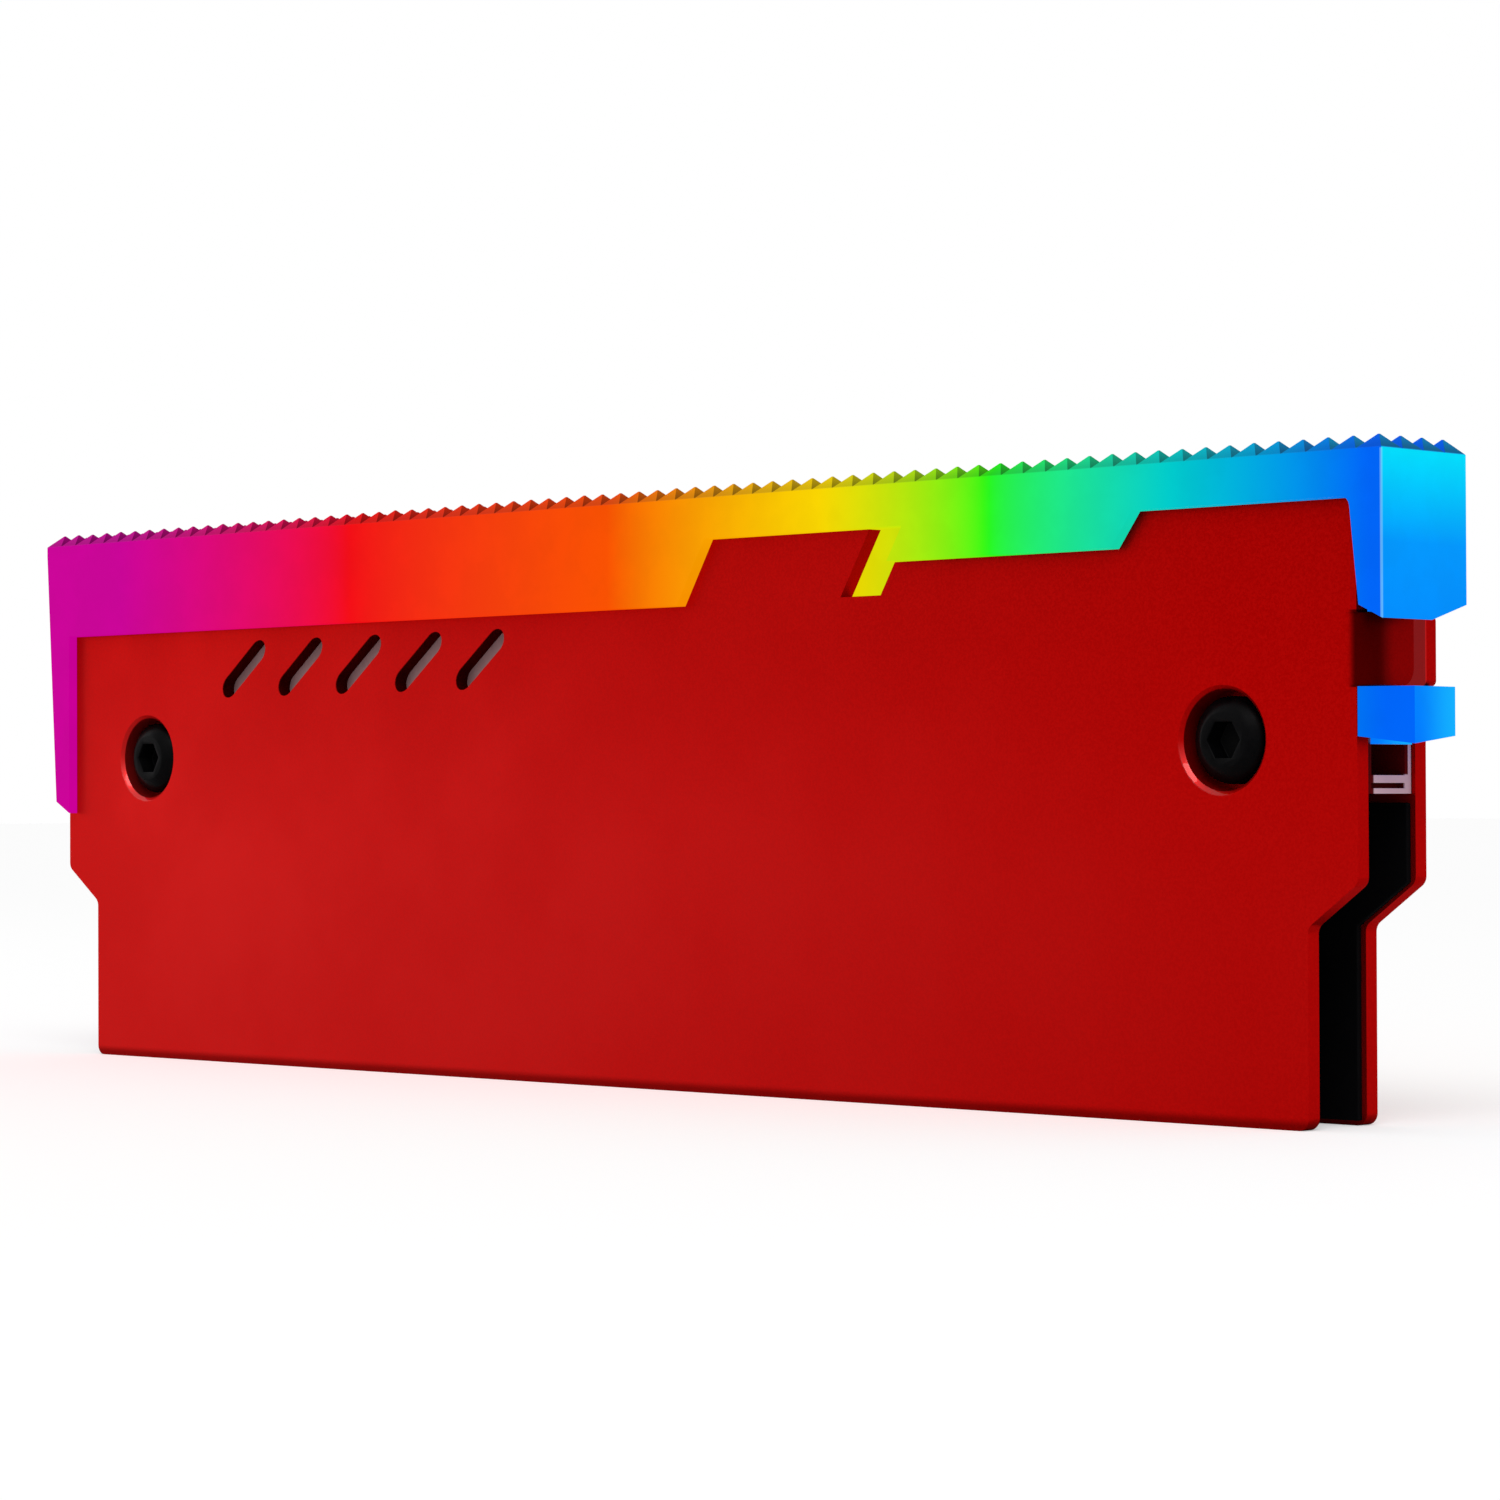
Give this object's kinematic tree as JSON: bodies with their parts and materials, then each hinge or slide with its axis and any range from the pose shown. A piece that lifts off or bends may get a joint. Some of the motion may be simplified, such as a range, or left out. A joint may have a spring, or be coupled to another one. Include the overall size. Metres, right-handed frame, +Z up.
{
  "type": "ram heat spreader",
  "caption": "Ram heat spreader: two stepped red aluminium plates screwed round a slot, with a translucent light bar between them topped by small pyramids.",
  "frame": {"origin": "under the middle of the object, on the surface that the lower edges of the two plates stand on", "axes": "+X along the length towards the end with the locking ears, +Y through the thickness towards the rear plate, +Z up towards the pyramids"},
  "size_m": [0.1424, 0.0094, 0.045],
  "materials": {
    "red_anodised_plate": "red anodised, satin",
    "milky_plastic": "milky translucent, lit from inside",
    "black_pad": "matt",
    "black_screw": "black oxide",
    "plain_steel": "plated",
    "board": "solder mask",
    "chip_plastic": "moulded",
    "light_package": "clear resin",
    "capacitor": "ceramic",
    "contact_brass": "gold plated"
  },
  "bodies": {
    "root": {"capacitor_01": "capacitor", "capacitor_02": "capacitor", "capacitor_03": "capacitor", "capacitor_04": "capacitor", "capacitor_05": "capacitor", "control_chip": "chip_plastic", "front_plate": "red_anodised_plate", "front_thermal_pad": "black_pad", "led_01": "light_package", "led_02": "light_package", "led_03": "light_package", "led_04": "light_package", "led_05": "light_package", "led_06": "light_package", "led_07": "light_package", "led_08": "light_package", "led_09": "light_package", "led_10": "light_package", "led_board": "board", "left_screw": "black_screw", "left_standoff": "plain_steel", "light_bar": "milky_plastic", "power_socket": "chip_plastic", "rear_plate": "red_anodised_plate", "rear_thermal_pad": "black_pad", "right_screw": "black_screw", "right_standoff": "plain_steel", "socket_contact_1": "contact_brass", "socket_contact_2": "contact_brass", "socket_contact_3": "contact_brass"}
  },
  "joints": []
}
